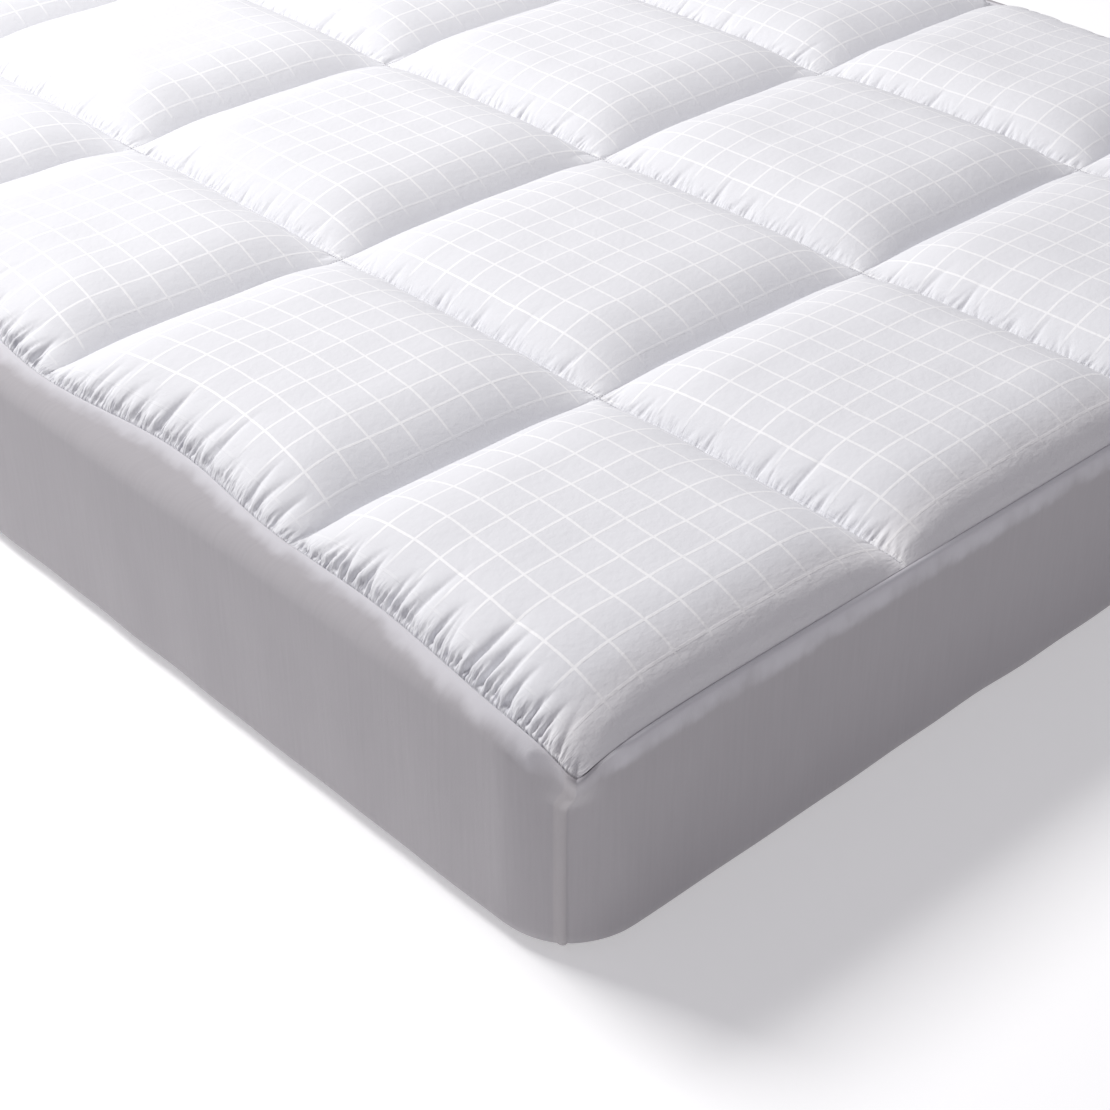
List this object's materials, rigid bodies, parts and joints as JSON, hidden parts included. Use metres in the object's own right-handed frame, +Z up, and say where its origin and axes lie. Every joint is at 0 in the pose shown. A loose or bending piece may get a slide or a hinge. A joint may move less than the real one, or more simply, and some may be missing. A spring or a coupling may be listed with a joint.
{
  "type": "mattress protector on a mattress",
  "caption": "Quilted box-stitched mattress protector with a puffed top panel and a stretch knit skirt, fitted round a plain rectangular mattress.",
  "frame": {"origin": "on the surface it lies on, under the middle of the bed", "axes": "+X across the bed, +Y along the bed, +Z up"},
  "size_m": [1.608, 2.0102, 0.2717],
  "materials": {
    "ticking": "plain woven mattress ticking, matt",
    "quilting": "white cotton with a woven satin windowpane check, soft sheen on the lines",
    "knit": "white stretch knit, matt with a fine vertical rib"
  },
  "bodies": {
    "root": {"mattress": "ticking", "quilted_panel": "quilting", "skirt": "knit"}
  },
  "joints": []
}
